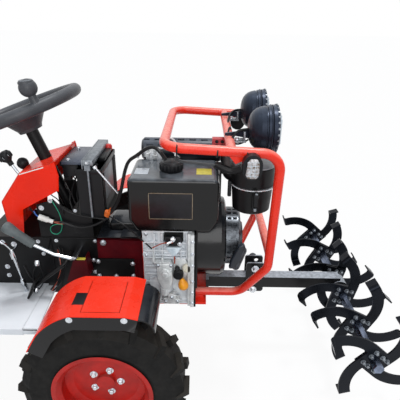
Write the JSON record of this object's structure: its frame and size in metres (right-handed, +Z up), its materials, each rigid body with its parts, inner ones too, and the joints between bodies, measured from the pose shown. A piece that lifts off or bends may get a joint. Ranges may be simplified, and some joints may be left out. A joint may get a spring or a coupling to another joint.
{
  "type": "articulated mini tractor",
  "caption": "Small articulated four-wheel tractor with an open diesel engine, tube guard with lamps, tiller steering wheel, driver's seat and a sabre-tine rotor on a front bar.",
  "frame": {"origin": "on the ground under the middle of the tractor's length and width", "axes": "+X forward, towards the tine rotor; +Y to the tractor's left; +Z up"},
  "size_m": [2.58, 1.132, 1.1928],
  "materials": {
    "amber": "gloss",
    "black_paint": "satin",
    "black_plastic": "matt",
    "cast_alloy": "as cast",
    "dark_red_paint": "satin",
    "lamp": "gloss",
    "red_paint": "gloss",
    "rim_red": "gloss",
    "seat_vinyl": "grained",
    "steel": "bare",
    "tread_plate": "bare",
    "tyre": "matt rubber"
  },
  "bodies": {
    "front_frame": {"front_axle": "dark_red_paint", "front_fenders": "red_paint", "front_fender_skirts": "black_paint", "chassis_frame": "black_paint", "gearbox": "dark_red_paint", "engine_cradle": "red_paint", "crankcase": "cast_alloy", "fuel_tank": "black_paint", "cylinder": "cast_alloy", "muffler": "black_paint", "fan_shroud": "black_paint", "recoil_starter": "black_paint", "air_filter": "black_paint", "guard_frame": "red_paint", "headlamps": "lamp", "marker_lamps": "lamp", "dash_cowl": "red_paint", "console": "black_paint", "switch_plate": "black_plastic", "battery": "black_plastic", "battery_clamp": "steel", "steering_column": "black_paint", "footboards": "tread_plate", "pedals": "black_paint", "control_levers": "black_plastic", "lever_bracket": "black_paint", "tool_bar": "black_paint"},
    "front_right_wheel": {"tyre_front_right": "tyre", "rim_front_right": "rim_red"},
    "front_left_wheel": {"tyre_front_left": "tyre", "rim_front_left": "rim_red"},
    "rear_right_wheel": {"tyre_rear_right": "tyre", "rim_rear_right": "rim_red"},
    "rear_left_wheel": {"tyre_rear_left": "tyre", "rim_rear_left": "rim_red"},
    "steering_wheel": {"steering_wheel": "black_plastic", "steering_spokes": "steel"},
    "tine_rotor": {"rotor_shaft": "black_paint", "tines": "black_paint"},
    "centre_knuckle": {"centre_knuckle": "black_paint"},
    "rear_frame": {"rear_axle": "dark_red_paint", "rear_fenders": "red_paint", "rear_fender_skirts": "black_paint", "rear_chassis": "black_paint", "drawbar": "black_paint", "rear_deck": "red_paint", "seat_base": "black_paint", "seat_cushion": "seat_vinyl", "seat_back": "seat_vinyl", "tail_lamps": "amber"}
  },
  "joints": [
    {"name": "front_right_wheel_spin", "type": "hinge", "parent": "front_frame", "child": "front_right_wheel", "pos_m": [0.19996, -0.484, 0.275], "axis": [0, 1, 0], "continuous": true},
    {"name": "front_left_wheel_spin", "type": "hinge", "parent": "front_frame", "child": "front_left_wheel", "pos_m": [0.19996, 0.484, 0.275], "axis": [0, 1, 0], "continuous": true},
    {"name": "articulation", "type": "hinge", "parent": "front_frame", "child": "centre_knuckle", "pos_m": [-0.40004, 0, 0.43], "axis": [0, 0, 1], "range_deg": [-30, 30]},
    {"name": "rear_roll", "type": "hinge", "parent": "centre_knuckle", "child": "rear_frame", "pos_m": [-0.47804, 0, 0.43], "axis": [1, 0, 0], "range_deg": [-8, 8]},
    {"name": "rear_right_wheel_spin", "type": "hinge", "parent": "rear_frame", "child": "rear_right_wheel", "pos_m": [-1.00004, -0.484, 0.275], "axis": [0, 1, 0], "continuous": true},
    {"name": "rear_left_wheel_spin", "type": "hinge", "parent": "rear_frame", "child": "rear_left_wheel", "pos_m": [-1.00004, 0.484, 0.275], "axis": [0, 1, 0], "continuous": true},
    {"name": "steering_turn", "type": "hinge", "parent": "front_frame", "child": "steering_wheel", "pos_m": [-0.15004, 0, 1.058], "axis": [-0.342, 0, 0.9397], "range_deg": [-360, 360]},
    {"name": "rotor_spin", "type": "hinge", "parent": "front_frame", "child": "tine_rotor", "pos_m": [1.09996, 0, 0.322], "axis": [0, 1, 0], "continuous": true}
  ],
  "couplings": [
    {"joint": "steering_turn", "follows": "articulation", "ratio": -12}
  ]
}
